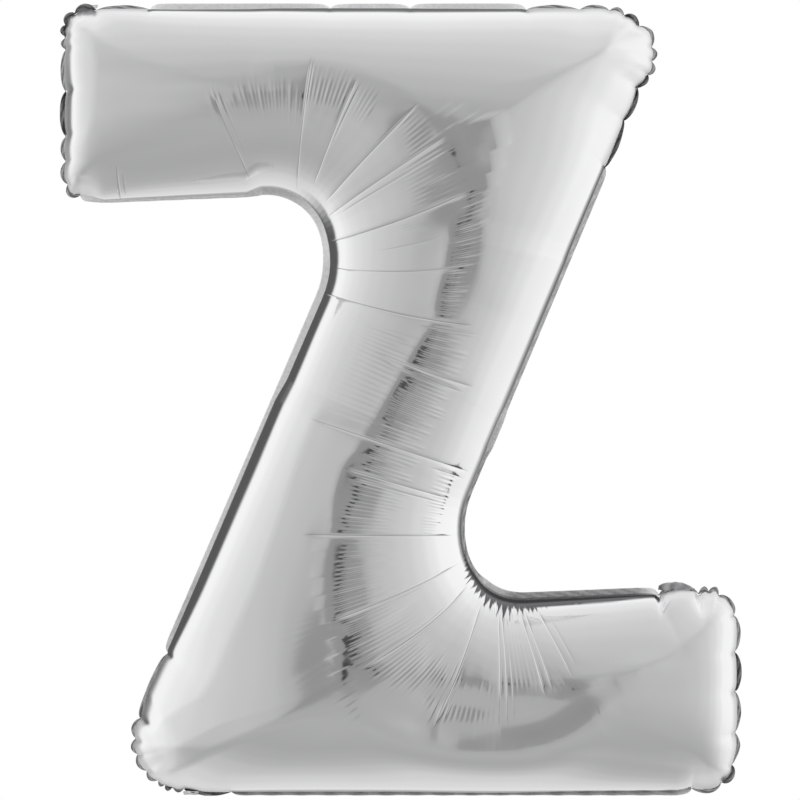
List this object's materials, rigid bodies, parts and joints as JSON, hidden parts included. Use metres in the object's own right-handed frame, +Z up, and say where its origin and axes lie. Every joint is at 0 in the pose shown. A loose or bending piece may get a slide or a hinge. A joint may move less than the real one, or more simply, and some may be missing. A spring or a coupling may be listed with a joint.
{
  "type": "letter foil balloon",
  "caption": "Inflated metallised-film letter Z: two blown-up sheets welded along a flat margin, with a filling valve tail and slotted hanging tabs.",
  "frame": {"origin": "centre of the letter, midway between the sheets, where the surrounding air carries it", "axes": "+Z up along the letter, +X to the reader's right, -Y out of the front sheet towards the reader"},
  "size_m": [0.7514, 0.2416, 0.8758],
  "materials": {
    "silver_foil": "mirror-bright metallised film with soft creases",
    "sealed_foil": "metallised film with a fine heat-seal texture",
    "valve_film": "satin grey film",
    "tab_film": "satin metallised film"
  },
  "bodies": {
    "root": {"front_panel": "silver_foil", "back_panel": "silver_foil", "sealed_edge": "sealed_foil", "valve_tail": "valve_film", "lower_hanging_tab": "tab_film", "upper_hanging_tab": "tab_film"}
  },
  "joints": []
}
